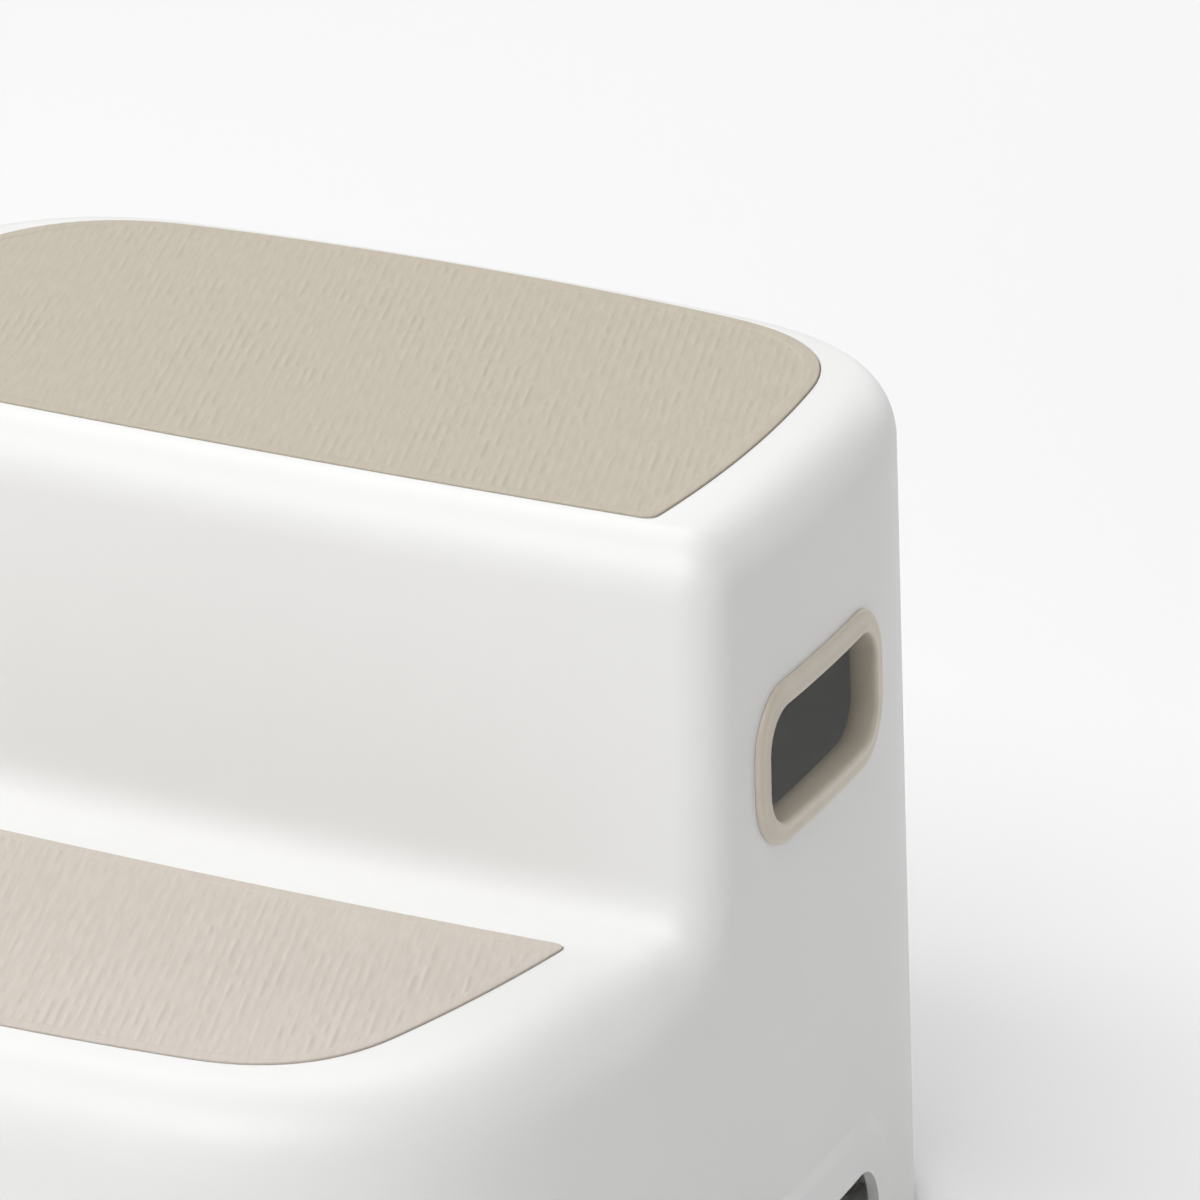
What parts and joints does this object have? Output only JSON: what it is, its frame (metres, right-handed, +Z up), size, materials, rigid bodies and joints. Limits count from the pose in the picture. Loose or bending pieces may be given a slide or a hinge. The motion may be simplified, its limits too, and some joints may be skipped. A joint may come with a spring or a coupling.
{
  "type": "two-step stool",
  "caption": "Moulded step stool with a low front tread and a high back tread, textured soft tread pads, ringed carrying holes in both sides, side arches at the floor and soft feet.",
  "frame": {"origin": "on the floor, under the middle of the stool", "axes": "+X to the right side, -Y to the front where the low tread is, +Z up"},
  "size_m": [0.3884, 0.3868, 0.2656],
  "materials": {
    "shell": "fine satin",
    "tread_pad": "matt with a fine ribbed texture",
    "grip_ring": "smooth satin",
    "foot": "matt"
  },
  "bodies": {
    "root": {"body_shell": "shell", "upper_tread_pad": "tread_pad", "lower_tread_pad": "tread_pad", "grip_ring_right": "grip_ring", "grip_ring_left": "grip_ring", "foot_front_right": "foot", "foot_front_left": "foot", "foot_back_right": "foot", "foot_back_left": "foot"}
  },
  "joints": []
}
